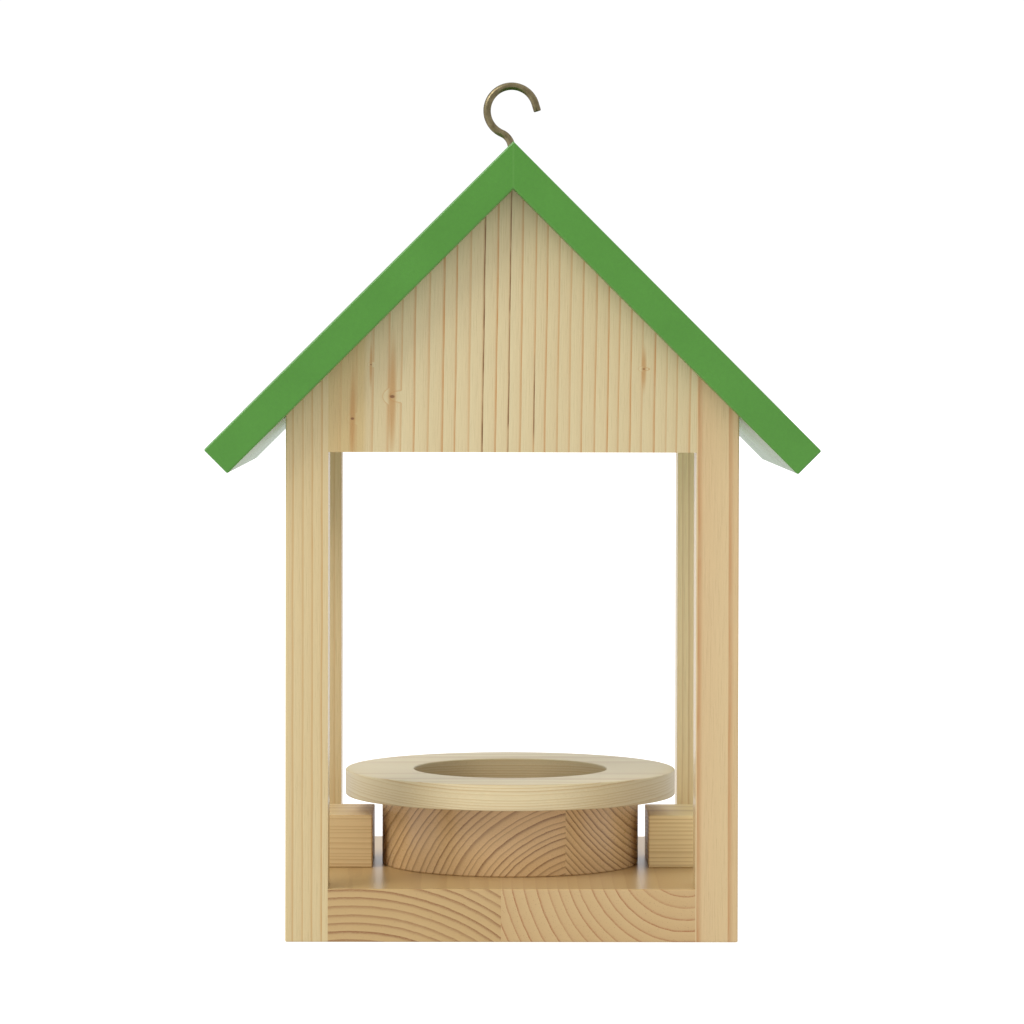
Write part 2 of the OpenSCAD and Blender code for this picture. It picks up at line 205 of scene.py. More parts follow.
def pine(name, grain, pith, ring, early, tint, late, line=0.18, contrast=0.8, first=0.0, weather=1.6,
         wander=3.0, lean=0.0, knots=(), seed=1.0, pore=0.3, rough=0.28, heart=None, resin=(), plain=1.0,
         lacquer=0.5, ends=1.0, fibre=1.0):
    """Planed pine under a thin satin lacquer: pale earlywood, warm latewood lines, fine fibres and pores.
    pith is a point of the tree's middle line and ring a year's growth, both in millimetres; early and tint
    are the earlywood's colours, late is the latewood's and line its share of a year; first moves the lines by
    a share of a year; weather is how much the years differ; wander is how far the rings stray, in
    millimetres; lean tilts the pith, in degrees; knots give each branch's height, direction and radius; heart
    is the heartwood's radius and colour; resin lists years that bled, each with the middle and half length of
    the streak; plain is how strong the lines are on faces along the grain, next to those on end grain;
    lacquer is how much the lacquer shines, 0.5 for a full coat; ends is how light the end grain stays, below
    1 a painted shade on faces across the grain; fibre is how much the fibres show in colour, shine and
    relief."""
    material, tree, shader = new_material(name)
    turn = Euler(GRAIN[grain]).to_matrix() @ Euler((0.0, math.radians(lean), 0.0)).to_matrix()
    coords = add(tree, "ShaderNodeTexCoord").outputs
    board = add(tree, "ShaderNodeMapping",
                {"Vector": coords["Object"], "Location": Vector(pith) * MM, "Rotation": turn.to_euler(),
                 "Scale": (MM, MM, MM)},
                vector_type="TEXTURE").outputs["Vector"]
    figure = growth_rings(tree, board, seed, ring, first, line, wander, weather, knots)
    pith_way = Euler(GRAIN[grain]).to_matrix() @ Vector((0.0, 0.0, 1.0))
    end_grain = add(tree, VECTOR, {0: coords["Normal"], 1: pith_way},
                    operation="DOT_PRODUCT").outputs["Value"]
    end_grain = add(tree, MATH, {0: end_grain}, operation="ABSOLUTE").outputs[0]

    # Earlywood, browner in the heart and warmer as each season goes on, with the latewood line over it
    inside = None
    ground = add(tree, MIX, {0: figure["tone"], 6: linear(early), 7: linear(tint)}, data_type="RGBA")
    if heart is not None:
        inside = add(tree, RANGE, {"Value": figure["radius"], "From Min": heart[0] - 1,
                                   "From Max": heart[0] + 1, "To Min": 0.8, "To Max": 0.0},
                     interpolation_type="SMOOTHSTEP").outputs["Result"]
        ground = add(tree, MIX, {0: inside, 6: ground.outputs[2], 7: linear(heart[1])}, data_type="RGBA")
    ripening = 0.16
    season = add(tree, MATH, {0: figure["season"], 1: ripening}, operation="MULTIPLY").outputs[0]
    ground = add(tree, MIX, {0: season, 6: ground.outputs[2], 7: linear(late)}, data_type="RGBA")
    strength = add(tree, RANGE, {"Value": end_grain, "To Min": contrast * plain, "To Max": contrast})
    amount = add(tree, MATH, {0: figure["late"], 1: strength.outputs["Result"]},
                 operation="MULTIPLY").outputs[0]
    if inside is not None:
        outside = add(tree, MATH, {0: 1.0, 1: inside}, operation="SUBTRACT").outputs[0]
        amount = add(tree, MATH, {0: amount, 1: outside}, operation="MULTIPLY").outputs[0]
    colour = add(tree, MIX, {0: amount, 6: ground.outputs[2], 7: linear(late)}, data_type="RGBA")

    # Fibres streak the colour, end grain is darkened by ends as painted shade, and pores are open on it
    streak = add(tree, RANGE, {"Value": figure["fibres"], "From Min": 0.3, "From Max": 0.7,
                               "To Min": 1 - 0.05 * fibre, "To Max": 1 + 0.04 * fibre})
    painted_end_shade = add(tree, RANGE, {"Value": end_grain, "From Min": 0.3, "To Min": 1.0, "To Max": ends})
    streak = add(tree, MATH, {0: streak.outputs["Result"], 1: painted_end_shade.outputs["Result"]},
                 operation="MULTIPLY").outputs[0]
    colour = add(tree, MIX, {0: 1.0, 6: colour.outputs[2], 7: streak}, data_type="RGBA",
                 blend_type="MULTIPLY")
    open_ends = add(tree, RANGE, {"Value": end_grain, "To Min": 0.15 * pore, "To Max": pore})
    speck = add(tree, MATH, {0: figure["pores"], 1: open_ends.outputs["Result"]},
                operation="MULTIPLY").outputs[0]
    colour = add(tree, MIX, {0: speck, 6: colour.outputs[2], 7: linear(PORE_BROWN)}, data_type="RGBA")

    # Years that bled resin, and knots with the brown they draw along the grain
    along = add(tree, "ShaderNodeSeparateXYZ", {0: board}).outputs["Z"]
    fade = 6  # mm over which a streak of resin ends
    for year, middle, half in resin:
        same = add(tree, MATH, {0: figure["number"], 1: float(year), 2: 0.5},
                   operation="COMPARE").outputs[0]
        off = add(tree, MATH, {0: along, 1: middle}, operation="SUBTRACT").outputs[0]
        off = add(tree, MATH, {0: off}, operation="ABSOLUTE").outputs[0]
        near = add(tree, RANGE, {"Value": off, "From Min": half, "From Max": half + fade, "To Min": 1.0,
                                 "To Max": 0.0}).outputs["Result"]
        dark = add(tree, MATH, {0: same, 1: near}, operation="MULTIPLY").outputs[0]
        thin = add(tree, RANGE, {"Value": figure["late"], "From Min": 0.25, "From Max": 0.8})
        dark = add(tree, MATH, {0: dark, 1: thin.outputs["Result"]}, operation="MULTIPLY").outputs[0]
        colour = add(tree, MIX, {0: dark, 6: colour.outputs[2], 7: linear(RESIN_BROWN)}, data_type="RGBA")
    if figure["knots"] is not None:
        colour = add(tree, MIX, {0: figure["smears"], 6: colour.outputs[2], 7: linear(SMEAR_BROWN)},
                     data_type="RGBA")
        colour = add(tree, MIX, {0: figure["knots"], 6: colour.outputs[2], 7: linear(KNOT_BROWN)},
                     data_type="RGBA")
    tree.links.new(colour.outputs[2], shader.inputs["Base Color"])

    # Latewood stands about a hundredth of a millimetre proud, and fibres show in the lacquer
    proud, uneven = 0.012 * MM, 0.02 * fibre
    height = add(tree, MATH, {0: figure["fibres"], 1: 0.1 * fibre, 2: amount},
                 operation="MULTIPLY_ADD").outputs[0]
    bump = add(tree, "ShaderNodeBump", {"Height": height, "Strength": 0.35, "Distance": proud})
    tree.links.new(bump.outputs["Normal"], shader.inputs["Normal"])
    shader.inputs["Roughness"].default_value = rough
    if uneven:
        gloss = add(tree, RANGE, {"Value": figure["fibres"], "From Min": 0.2, "From Max": 0.8,
                                  "To Min": rough - uneven, "To Max": rough + uneven})
        tree.links.new(gloss.outputs["Result"], shader.inputs["Roughness"])
    shader.inputs["IOR"].default_value = LACQUER_IOR
    shader.inputs["Specular IOR Level"].default_value = lacquer
    return material


def paint(name):
    """Leaf-green satin paint brushed on planed wood: faint brush marks and a hint of the grain under it."""
    material, tree, shader = new_material(name)
    mm = millimetres(tree)
    # Brush marks are 0.9 mm apart and 15 mm long and the paint's peel is 0.7 mm, coarse enough to show
    brush_way = add(tree, VECTOR, {0: mm, 1: (1.0, 0.06, 1.0)}, operation="MULTIPLY").outputs[0]
    brush = add(tree, NOISE, {"Vector": brush_way, "Scale": 1 / 0.9, "Detail": 3.0}).outputs[0]
    cloud = add(tree, NOISE, {"Vector": mm, "Scale": 1 / 25, "Detail": 3.0}).outputs[0]
    peel = add(tree, NOISE, {"Vector": mm, "Scale": 1 / 0.7, "Detail": 2.0}).outputs[0]
    colour = add(tree, MIX, {0: cloud, 6: linear("427D26"), 7: linear("4C8A2F")}, data_type="RGBA")
    light = add(tree, RANGE, {"Value": brush, "From Min": 0.3, "From Max": 0.7, "To Min": 0.96,
                              "To Max": 1.03})
    colour = add(tree, MIX, {0: 1.0, 6: colour.outputs[2], 7: light.outputs["Result"]},
                 data_type="RGBA", blend_type="MULTIPLY")
    # The mitre's glue joint shows through the paint as a thin pale line
    across = add(tree, "ShaderNodeSeparateXYZ", {0: mm}).outputs["X"]
    across = add(tree, MATH, {0: across}, operation="ABSOLUTE").outputs[0]
    seam = add(tree, RANGE, {"Value": across, "From Min": 0.15, "From Max": 0.5, "To Min": 0.06,
                             "To Max": 0.0}).outputs["Result"]
    colour = add(tree, MIX, {0: seam, 6: colour.outputs[2], 7: linear("8FBF74")}, data_type="RGBA")
    tree.links.new(colour.outputs[2], shader.inputs["Base Color"])
    height = add(tree, MATH, {0: peel, 1: brush}, operation="ADD").outputs[0]
    bump = add(tree, "ShaderNodeBump", {"Height": height, "Strength": 0.3, "Distance": 0.05 * MM})
    tree.links.new(bump.outputs["Normal"], shader.inputs["Normal"])
    gloss = add(tree, RANGE, {"Value": cloud, "To Min": 0.22, "To Max": 0.3})
    tree.links.new(gloss.outputs["Result"], shader.inputs["Roughness"])
    shader.inputs["IOR"].default_value = 1.48
    return material


def antique_brass(name):
    """Drawn brass wire with a browned, lacquered skin that is rubbed lighter in places, and painted shade at
    its edges.
    """
    material, tree, shader = new_material(name)
    mm = millimetres(tree)
    # The skin is mottled over 2 mm, with a grit of 0.35 mm, coarser than real so that it shows
    mottle = add(tree, NOISE, {"Vector": mm, "Scale": 1 / 2.2, "Detail": 4.0}).outputs[0]
    grit = add(tree, NOISE, {"Vector": mm, "Scale": 1 / 0.35, "Detail": 2.0}).outputs[0]
    skin = add(tree, RANGE, {"Value": mottle, "From Min": 0.35, "From Max": 0.68})
    colour = add(tree, MIX, {0: skin.outputs["Result"], 6: linear("6E634A"), 7: linear("877C5F")},
                 data_type="RGBA")
    # Painted shade: the wire's edges, where they turn away from the view, are darkened as a painted dark
    # reflection
    edge = add(tree, "ShaderNodeLayerWeight", {"Blend": 0.5}).outputs["Facing"]
    edge = add(tree, RANGE, {"Value": edge, "From Min": 0.4, "From Max": 0.85},
               interpolation_type="SMOOTHSTEP").outputs["Result"]
    colour = add(tree, MIX, {0: edge, 6: colour.outputs[2], 7: linear("352C1A")}, data_type="RGBA")
    tree.links.new(colour.outputs[2], shader.inputs["Base Color"])
    gloss = add(tree, RANGE, {"Value": grit, "From Min": 0.3, "From Max": 0.7, "To Min": 0.28,
                              "To Max": 0.36})
    tree.links.new(gloss.outputs["Result"], shader.inputs["Roughness"])
    bump = add(tree, "ShaderNodeBump", {"Height": grit, "Strength": 0.1, "Distance": 0.02 * MM})
    tree.links.new(bump.outputs["Normal"], shader.inputs["Normal"])
    shader.inputs["Metallic"].default_value = 1.0
    return material


def zinc_plate(name):
    """Bright zinc-plated steel: cool grey, faintly clouded, with a soft shine."""
    material, tree, shader = new_material(name)
    mm = millimetres(tree)
    # The zinc's crystals cloud it over 1.4 mm
    cloud = add(tree, NOISE, {"Vector": mm, "Scale": 1 / 1.4, "Detail": 4.0}).outputs[0]
    colour = add(tree, MIX, {0: cloud, 6: linear("A9ABAC"), 7: linear("D2D4D3")}, data_type="RGBA")
    tree.links.new(colour.outputs[2], shader.inputs["Base Color"])
    gloss = add(tree, RANGE, {"Value": cloud, "To Min": 0.22, "To Max": 0.42})
    tree.links.new(gloss.outputs["Result"], shader.inputs["Roughness"])
    shader.inputs["Metallic"].default_value = 1.0
    return material


def beech(name):
    """Turned beech rod: pinkish tan, close grained, with short dark ray flecks."""
    material, tree, shader = new_material(name)
    mm = millimetres(tree)
    # Ray flecks are half a millimetre across
    flecks = add(tree, NOISE, {"Vector": mm, "Scale": 1 / 0.5, "Detail": 2.0}).outputs[0]
    dark = add(tree, RANGE, {"Value": flecks, "From Min": 0.55, "From Max": 0.7}).outputs["Result"]
    colour = add(tree, MIX, {0: dark, 6: linear("CFA982"), 7: linear("A87C54")}, data_type="RGBA")
    tree.links.new(colour.outputs[2], shader.inputs["Base Color"])
    gloss = add(tree, RANGE, {"Value": flecks, "To Min": 0.5, "To Max": 0.66})
    tree.links.new(gloss.outputs["Result"], shader.inputs["Roughness"])
    return material


# ---------------------------------------------------------------- finishes

green = paint("satin_green_paint")
brass = antique_brass("antique_brass")
zinc = zinc_plate("zinc_plated_steel")
rod = beech("beech_rod")

PALE, WARM, LINE = "DCC795", "D3B783", "B98A52"

wood = {
    # Flat-sawn board whose middle line is off to its left, so its lines crowd towards the right
    "front_gable": pine("gable_pine", "up", (-142, -5, 0), 4.12, "CFC198", "C2B186", "B07C42",
                        line=0.12, seed=1.0, first=-30.65, weather=0.5, lean=0.8, wander=1.2, contrast=1.0,
                        heart=(116, "BFA670"), resin=((5, 200, 200), (7, 200, 200), (9, 206, 12)),
                        knots=((197.7, -0.79, 0.55), (206.2, -0.705, 0.7), (218, -0.75, 0.25),
                               (218, -0.402, 0.25))),
    "rear_gable": pine("rear_gable_pine", "up", (40, 120, 0), 3.6, PALE, WARM, LINE, seed=2.0),
    "front_left_post": pine("left_post_pine", "up", (-160, -60, 0), 3.5, "CBB98D", "C6B183", "B08448",
                            seed=3.0, first=-0.33, weather=0.3, wander=1.2, line=0.14, contrast=0.9),
    "front_right_post": pine("right_post_pine", "up", (200, -80, 0), 12.1, "CCB488", "C6AC7E", "AA7440",
                             seed=4.0, first=0.19, weather=0.2, wander=1.6, line=0.1, contrast=0.9),
    # The rear posts get paler wood than the front ones, the right one far paler: painted light, making up for
    # the shade deep under the roof
    "rear_left_post": pine("rear_left_post_pine", "up", (-110, 50, 0), 3.5, "D2BC8E", "CCB484", LINE,
                           seed=5.0, contrast=0.5),
    "rear_right_post": pine("rear_right_post_pine", "up", (130, 60, 0), 3.2, "F0DFAE", "EAD5A4", LINE,
                            seed=6.0, contrast=0.5),
    "ridge_rail": pine("rail_pine", "deep", (20, 0, 200), 3.5, PALE, WARM, LINE, seed=7.0),
    # End grain to the front: flat arcs in the left plank, steep hollow ones in the right
    "floor_plank_left": pine("left_base_pine", "deep", (-61, 0, -78), 3.16, "BEA06F", "B79864", "7E4E26",
                             seed=8.0, first=-0.1, weather=0.5, line=0.24, contrast=1.0, wander=1.6, pore=0.3,
                             plain=0.15, fibre=0.0),
    "floor_plank_right": pine("right_base_pine", "deep", (65, 0, 33), 4.1, "C2A677", "BB9C6B", "945A2E",
                              seed=9.0, first=-0.1, weather=0.8, line=0.12, contrast=0.9, wander=2.0,
                              pore=0.5, plain=0.15, fibre=0.0),
    # The right block gets much paler wood than the left: painted light, making up for the shade it stands in
    "left_stop_block": pine("left_block_pine", "across", (0, -30, -150), 1.8, "D8BE8E", "D0B484", "9C6C36",
                            seed=10.0, contrast=0.4, line=0.25, rough=0.42, lacquer=0.12),
    "right_stop_block": pine("right_block_pine", "across", (0, -20, -120), 1.7, "F2DCA8", "E8D09A", "9C6C36",
                             seed=11.0, contrast=0.4, line=0.25, rough=0.42, lacquer=0.12),
    # Two staves glued side by side before turning, so that their arcs meet at a slant
    "drum_left": pine("left_stave_pine", "deep", (29.6, 0, -5), 2.5, "DAB98A", "CFAC79", "734622", seed=12.0,
                      line=0.22, contrast=0.95, wander=2.4, weather=1.4, pore=0.4),
    "drum_right": pine("right_stave_pine", "deep", (144, 0, 134), 1.95, "DBBC8E", "D0AE7C", "734622",
                       seed=13.0, line=0.24, contrast=0.95, wander=1.6, weather=0.6, pore=0.4),
    # Quarter-sawn board whose fine lines run straight across the ring
    # Its end grain, on the ring's left and right sides, is darkened by ends: painted shade
    "rim": pine("rim_pine", "across", (0, 0, -400), 1.3, "D8CBA4", "CFBE98", "A87C4A", seed=14.0, line=0.2,
                contrast=0.5, wander=1.2, rough=0.38, lacquer=0.28, ends=0.72, knots=((-41, 1.39, 0.6),)),
}

finishes = {name: material for name, material in wood.items() if name in nodes}
finishes.update({"roof_board_left": green, "roof_board_right": green})
for name, material in finishes.items():
    nodes[name].data.materials.clear()
    nodes[name].data.materials.append(material)


# ---------------------------------------------------------------- pieces made by geometry nodes

SHARP_ANGLE = math.radians(35)


def new_tree(name, inputs):
    """A geometry tree with named inputs, and a dictionary of the inputs' identifiers."""
    tree = bpy.data.node_groups.new(name, "GeometryNodeTree")
    tree.interface.new_socket("Geometry", in_out="INPUT", socket_type="NodeSocketGeometry")
    ids = {label: tree.interface.new_socket(label, in_out="INPUT", socket_type=kind).identifier
           for label, kind in inputs.items()}
    tree.interface.new_socket("Geometry", in_out="OUTPUT", socket_type="NodeSocketGeometry")
    return tree, ids


def end_tree(t, geometry, material):
    """The end that every tree has: instances made real, the material set, and out."""
    real = add(t, "GeometryNodeRealizeInstances", {"Geometry": geometry}).outputs[0]
    done = add(t, "GeometryNodeSetMaterial", {"Geometry": real, "Material": material}).outputs[0]
    add(t, "NodeGroupOutput", {"Geometry": done})


def grow(name, base, tree, ids, values, material, body, replaced):
    """Runs a geometry tree on a base mesh and keeps the result as one plain mesh that rides on a body."""
    seedling = bpy.data.objects.new(name + "_base", base)
    bpy.context.scene.collection.objects.link(seedling)
    modifier = seedling.modifiers.new("make", "NODES")
    modifier.node_group = tree
    for label, value in {**values, "Material": material}.items():
        modifier[ids[label]] = value
    bpy.context.view_layer.update()
    mesh = bpy.data.meshes.new_from_object(seedling.evaluated_get(bpy.context.evaluated_depsgraph_get()))
    bpy.data.objects.remove(seedling)
    return keep(name, mesh, material, body, replaced)


def keep(name, mesh, material, body, replaced):
    """Makes a finished mesh a piece: smooth where it curves, sharp at its edges, and riding on its body."""
    mesh.name = name
    mesh.materials.clear()
    mesh.materials.append(material)
    mesh.shade_smooth()
    mesh.set_sharp_from_angle(angle=SHARP_ANGLE)
    piece = bpy.data.objects.new(name, mesh)
    bpy.context.scene.collection.objects.link(piece)
    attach(piece, body)
    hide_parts(*replaced)
    return piece


def parts_of(node):
    """The separate solids of a CAD node, each as a list of its corners."""
    mesh = nodes[node].data
    keys = [tuple(round(c, 6) for c in v.co) for v in mesh.vertices]
    root = {k: k for k in keys}

    def top(k):
        while root[k] != k:
            root[k] = root[root[k]]
            k = root[k]
        return k

    for edge in mesh.edges:
        a, b = (top(keys[i]) for i in edge.vertices)
        root[a] = b
    groups = {}
    for k in set(keys):
        groups.setdefault(top(k), []).append(Vector(k))
    return sorted(groups.values(), key=lambda g: tuple(sum(g, Vector()) / len(g)))


def points_mesh(name, places, outs):
    """Loose points that carry the way each piece on them faces."""
    mesh = bpy.data.meshes.new(name)
    mesh.from_pydata(places, [], [])
    attribute = mesh.attributes.new("out", "FLOAT_VECTOR", "POINT")
    for item, out in zip(attribute.data, outs):
        item.vector = out
    return mesh


# A wood screw: countersunk head with a cross recess, plain shank, wound thread, point
POINT_SLOPE, POINT_END = 0.42, 0.06 * MM
THREAD_SHARE = 0.62
screw_tree, screw_ids = new_tree("wood_screw", {
    "Length": "NodeSocketFloat", "Head Radius": "NodeSocketFloat", "Shank Radius": "NodeSocketFloat",
    "Core Radius": "NodeSocketFloat", "Pitch": "NodeSocketFloat", "Thread Length": "NodeSocketFloat",
    "Recess Width": "NodeSocketFloat", "Recess Length": "NodeSocketFloat", "Recess Depth": "NodeSocketFloat",
    "Material": "NodeSocketMaterial"})


def fill_screw_tree(t):
    """A cylinder whose rings are drawn in to the outline of the screw, set on every point of the base."""
    given = add(t, "NodeGroupInput").outputs
    # Enough rings for six to each turn of the thread
    blank = add(t, "GeometryNodeMeshCylinder", {"Vertices": 32, "Side Segments": 110, "Fill Segments": 1,
                                                "Radius": 1.0, "Depth": given["Length"]})
    here = add(t, "GeometryNodeInputPosition").outputs[0]
    xyz = add(t, "ShaderNodeSeparateXYZ", {0: here}).outputs
    half = add(t, MATH, {0: given["Length"], 1: 0.5}, operation="MULTIPLY").outputs[0]
    down = add(t, MATH, {0: half, 1: xyz["Z"]}, operation="SUBTRACT").outputs[0]
    angle = add(t, MATH, {0: xyz["Y"], 1: xyz["X"]}, operation="ARCTAN2").outputs[0]
    turn = add(t, MATH, {0: angle, 1: 2 * math.pi}, operation="DIVIDE").outputs[0]
    turns = add(t, MATH, {0: down, 1: given["Pitch"]}, operation="DIVIDE").outputs[0]
    wound = add(t, MATH, {0: turns, 1: turn}, operation="SUBTRACT").outputs[0]
    tooth = add(t, MATH, {0: wound, 1: 0.5}, operation="PINGPONG").outputs[0]
    depth = add(t, MATH, {0: given["Shank Radius"], 1: given["Core Radius"]},
                operation="SUBTRACT").outputs[0]
    crest = add(t, RANGE, {"Value": tooth, "From Min": 0.18, "From Max": 0.5, "To Min": 0.0,
                           "To Max": depth}).outputs["Result"]
    thread = add(t, MATH, {0: given["Core Radius"], 1: crest}, operation="ADD").outputs[0]
    plain = add(t, MATH, {0: given["Length"], 1: given["Thread Length"]}, operation="SUBTRACT").outputs[0]
    on_thread = add(t, MATH, {0: down, 1: plain}, operation="GREATER_THAN").outputs[0]
    body = add(t, MIX, {0: on_thread, 2: given["Shank Radius"], 3: thread}).outputs[0]
    cone = add(t, MATH, {0: given["Head Radius"], 1: down}, operation="SUBTRACT").outputs[0]
    wide = add(t, MATH, {0: body, 1: cone}, operation="MAXIMUM").outputs[0]
    left = add(t, MATH, {0: given["Length"], 1: down}, operation="SUBTRACT").outputs[0]
    point = add(t, MATH, {0: left, 1: POINT_SLOPE, 2: POINT_END}, operation="MULTIPLY_ADD").outputs[0]
    radius = add(t, MATH, {0: wide, 1: point}, operation="MINIMUM").outputs[0]
    out = add(t, "ShaderNodeCombineXYZ", {"X": xyz["X"], "Y": xyz["Y"]}).outputs[0]
    out = add(t, VECTOR, {0: out}, operation="NORMALIZE").outputs[0]
    ring = add(t, VECTOR, {0: out, "Scale": radius}, operation="SCALE").outputs[0]
    low = add(t, MATH, {0: down, 1: -1.0}, operation="MULTIPLY").outputs[0]
    level = add(t, "ShaderNodeCombineXYZ", {"Z": low}).outputs[0]
    spot = add(t, VECTOR, {0: ring, 1: level}, operation="ADD").outputs[0]
    turned = add(t, "GeometryNodeSetPosition",
                 {"Geometry": blank.outputs["Mesh"], "Position": spot}).outputs[0]
    slot_size = add(t, "ShaderNodeCombineXYZ", {"X": given["Recess Length"], "Y": given["Recess Width"],
                                                "Z": given["Recess Depth"]}).outputs[0]
    slot_size = add(t, VECTOR, {0: slot_size, 1: (1.0, 1.0, 2.0)}, operation="MULTIPLY").outputs[0]
    slot = add(t, "GeometryNodeMeshCube", {"Size": slot_size}).outputs["Mesh"]
    crossed = add(t, "GeometryNodeTransform",
                  {"Geometry": slot, "Rotation": (0.0, 0.0, math.pi / 2)}).outputs[0]
    recess = add(t, "GeometryNodeMeshBoolean", {"Mesh 2": slot}, operation="UNION", solver="EXACT")
    t.links.new(crossed, recess.inputs["Mesh 2"])
    cut = add(t, "GeometryNodeMeshBoolean", {"Mesh 1": turned, "Mesh 2": recess.outputs["Mesh"]},
              operation="DIFFERENCE", solver="EXACT").outputs["Mesh"]
    facing = add(t, "GeometryNodeInputNamedAttribute", {"Name": "out"}, data_type="FLOAT_VECTOR").outputs[0]
    aim = add(t, "FunctionNodeAlignRotationToVector", {"Vector": facing}, axis="Z").outputs[0]
    chance = add(t, "FunctionNodeRandomValue", {"Min": 0.0, "Max": math.pi / 2, "Seed": 4}, data_type="FLOAT")
    spin = add(t, "FunctionNodeAxisAngleToRotation", {"Axis": (0.0, 0.0, 1.0),
                                                      "Angle": chance.outputs["Value"]}).outputs[0]
    driven = add(t, "FunctionNodeRotateRotation", {0: aim, 1: spin}, rotation_space="LOCAL").outputs[0]
    placed = add(t, "GeometryNodeInstanceOnPoints", {"Points": given["Geometry"], "Instance": cut,
                                                     "Rotation": driven}).outputs[0]
    end_tree(t, placed, given["Material"])


fill_screw_tree(screw_tree)


def screw_set(name, node, facing, material):
    """Screws where a CAD node has them. facing gives the way a screw's head faces from its middle."""
    places, outs, length, head = [], [], 0.0, 0.0
    for solid in parts_of(node):
        middle = sum(solid, Vector()) / len(solid)
        out = facing(middle).normalized()
        along = [p.dot(out) for p in solid]
        face = [p for p, a in zip(solid, along) if a > max(along) - 1e-5]
        centre = sum(face, Vector()) / len(face)
        places.append(centre)
        outs.append(out)
        length = max(along) - min(along)
        head = max((p - centre - out * (p - centre).dot(out)).length for p in face)
    values = {"Length": length, "Head Radius": head, "Shank Radius": 2.0 * MM, "Core Radius": 1.4 * MM,
              "Pitch": 2.4 * MM, "Thread Length": THREAD_SHARE * length, "Recess Width": 1.1 * MM,
              "Recess Length": 4.4 * MM, "Recess Depth": 1.5 * MM}
    return grow(name, points_mesh(name, places, outs), screw_tree, screw_ids, values, material, "house",
                [node])


def sideways(p):
    return Vector((p.x, 0, 0))


def up_slope(p):
    return Vector((1 if p.x > 0 else -1, 0, 1))


def downwards(p):
    return Vector((0, 0, -1))


screw_set("post_screw_set", "post_screws", sideways, zinc)
screw_set("roof_screw_set", "roof_screws", up_slope, green)
screw_set("ridge_screw_set", "ridge_screws", up_slope, green)
screw_set("block_screw_set", "block_screws", downwards, zinc)

# A dowel: fluted so that glue can rise past it, with chamfered ends
dowel_tree, dowel_ids = new_tree("dowel", {
    "Length": "NodeSocketFloat", "Radius": "NodeSocketFloat", "Flutes": "NodeSocketFloat",
    "Flute Depth": "NodeSocketFloat", "Chamfer": "NodeSocketFloat", "Material": "NodeSocketMaterial"})


def fill_dowel_tree(t):
    """A cylinder whose sides are drawn in to flutes and chamfers, set on every point of the base."""
    given = add(t, "NodeGroupInput").outputs
    blank = add(t, "GeometryNodeMeshCylinder", {"Vertices": 72, "Side Segments": 24, "Radius": 1.0,
                                                "Depth": given["Length"]})
    here = add(t, "GeometryNodeInputPosition").outputs[0]
    xyz = add(t, "ShaderNodeSeparateXYZ", {0: here}).outputs
    angle = add(t, MATH, {0: xyz["Y"], 1: xyz["X"]}, operation="ARCTAN2").outputs[0]
    wave = add(t, MATH, {0: angle, 1: given["Flutes"]}, operation="MULTIPLY").outputs[0]
    wave = add(t, MATH, {0: wave}, operation="COSINE").outputs[0]
    groove = add(t, RANGE, {"Value": wave, "From Min": 0.4, "From Max": 1.0, "To Min": 0.0,
                            "To Max": given["Flute Depth"]}).outputs["Result"]
    side = add(t, MATH, {0: given["Radius"], 1: groove}, operation="SUBTRACT").outputs[0]
    half = add(t, MATH, {0: given["Length"], 1: 0.5}, operation="MULTIPLY").outputs[0]
    off = add(t, MATH, {0: xyz["Z"]}, operation="ABSOLUTE").outputs[0]
    end = add(t, MATH, {0: half, 1: off}, operation="SUBTRACT").outputs[0]
    slim = add(t, MATH, {0: given["Radius"], 1: given["Chamfer"]}, operation="SUBTRACT").outputs[0]
    cone = add(t, MATH, {0: slim, 1: end}, operation="ADD").outputs[0]
    radius = add(t, MATH, {0: side, 1: cone}, operation="MINIMUM").outputs[0]
    flat = add(t, VECTOR, {0: here, 1: (1.0, 1.0, 0.0)}, operation="MULTIPLY").outputs[0]
    ring = add(t, VECTOR, {0: flat, "Scale": radius}, operation="SCALE").outputs[0]
    level = add(t, "ShaderNodeCombineXYZ", {"Z": xyz["Z"]}).outputs[0]
    spot = add(t, VECTOR, {0: ring, 1: level}, operation="ADD").outputs[0]
    turned = add(t, "GeometryNodeSetPosition",
                 {"Geometry": blank.outputs["Mesh"], "Position": spot}).outputs[0]
    facing = add(t, "GeometryNodeInputNamedAttribute", {"Name": "out"}, data_type="FLOAT_VECTOR").outputs[0]
    aim = add(t, "FunctionNodeAlignRotationToVector", {"Vector": facing}, axis="Z").outputs[0]
    placed = add(t, "GeometryNodeInstanceOnPoints", {"Points": given["Geometry"], "Instance": turned,
                                                     "Rotation": aim}).outputs[0]
    end_tree(t, placed, given["Material"])


fill_dowel_tree(dowel_tree)


def dowel_set(name, node, out, body):
    """Dowels where a CAD node has them, all lying the same way."""
    out = Vector(out)
    places, length, radius = [], 0.0, 0.0
    for solid in parts_of(node):
        low = Vector(min(p[i] for p in solid) for i in range(3))
        high = Vector(max(p[i] for p in solid) for i in range(3))
        places.append((low + high) / 2)
        length = (high - low).dot(out)
        radius = (high - low - out * length).length / math.sqrt(2) / 2
    values = {"Length": length, "Radius": radius, "Flutes": 12.0, "Flute Depth": 0.2 * MM,
              "Chamfer": 0.6 * MM}
    return grow(name, points_mesh(name, places, [out] * len(places)), dowel_tree, dowel_ids, values, rod,
                body, [node])


dowel_set("gable_dowel_set", "gable_dowels", (1, 0, 0), "house")
dowel_set("rim_dowel_set", "rim_dowels", (0, 0, 1), "bowl")

# The hook: drawn wire bent round its loop and neck, with a screw thread at the foot
wire_tree, wire_ids = new_tree("bent_wire", {"Sides": "NodeSocketInt", "Material": "NodeSocketMaterial"})


